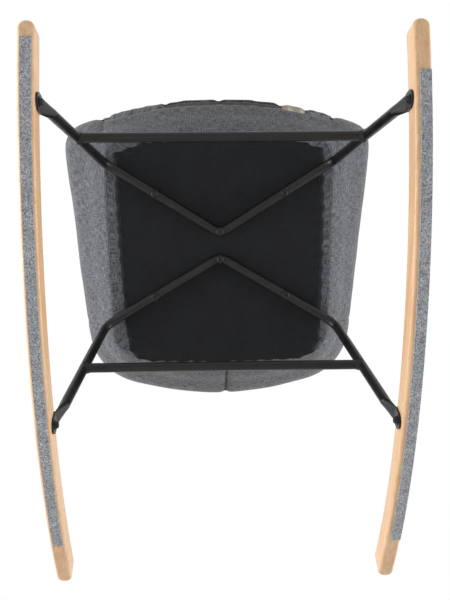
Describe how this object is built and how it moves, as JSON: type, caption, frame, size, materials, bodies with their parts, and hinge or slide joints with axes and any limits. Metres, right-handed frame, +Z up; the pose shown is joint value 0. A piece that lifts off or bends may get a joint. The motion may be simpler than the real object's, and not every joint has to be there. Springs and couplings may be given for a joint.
{
  "type": "rocking chair",
  "caption": "Upholstered tub rocking chair: a padded seat with arms and back on a bent steel tube base and curved wooden rockers with felt under them.",
  "frame": {"origin": "on the floor, midway between the two points where the rockers touch it at rest", "axes": "+Z up, front of the chair towards -Y, +X to the sitter's left"},
  "size_m": [0.6078, 0.8804, 0.7541],
  "materials": {
    "ash_wood": "satin",
    "grey_felt": "matte",
    "black_tube": "matte",
    "black_fastener": "satin",
    "zinc_steel": "satin",
    "plywood": "matte",
    "foam": "matte",
    "grey_cloth": "matte",
    "patchwork_cloth": "matte",
    "black_dust_cloth": "matte"
  },
  "bodies": {
    "root": {"rocker_left": "ash_wood", "rocker_right": "ash_wood", "felt_strip_left": "grey_felt", "felt_strip_right": "grey_felt", "front_leg_tube": "black_tube", "rear_leg_tube": "black_tube", "front_crossbar": "black_tube", "rear_crossbar": "black_tube", "crossbar_welds": "black_tube", "rocker_bolts": "black_fastener", "rocker_bolt_washers": "black_fastener", "rocker_inserts": "zinc_steel", "seat_screws": "black_fastener", "seat_screw_saddles": "black_fastener", "seat_tee_nuts": "zinc_steel", "seat_board": "plywood", "back_panel": "plywood", "side_panel_left": "plywood", "side_panel_right": "plywood", "front_rail": "plywood", "seat_foam": "foam", "back_foam": "foam", "arm_foam_left": "foam", "arm_foam_right": "foam", "front_band_cover": "grey_cloth", "outer_back_cover": "grey_cloth", "outer_arm_cover_left": "grey_cloth", "outer_arm_cover_right": "grey_cloth", "inner_back_cover": "patchwork_cloth", "inner_arm_cover_left": "patchwork_cloth", "inner_arm_cover_right": "patchwork_cloth", "seat_cover": "patchwork_cloth", "dust_cover": "black_dust_cloth", "dust_cover_staples": "zinc_steel"}
  },
  "joints": []
}
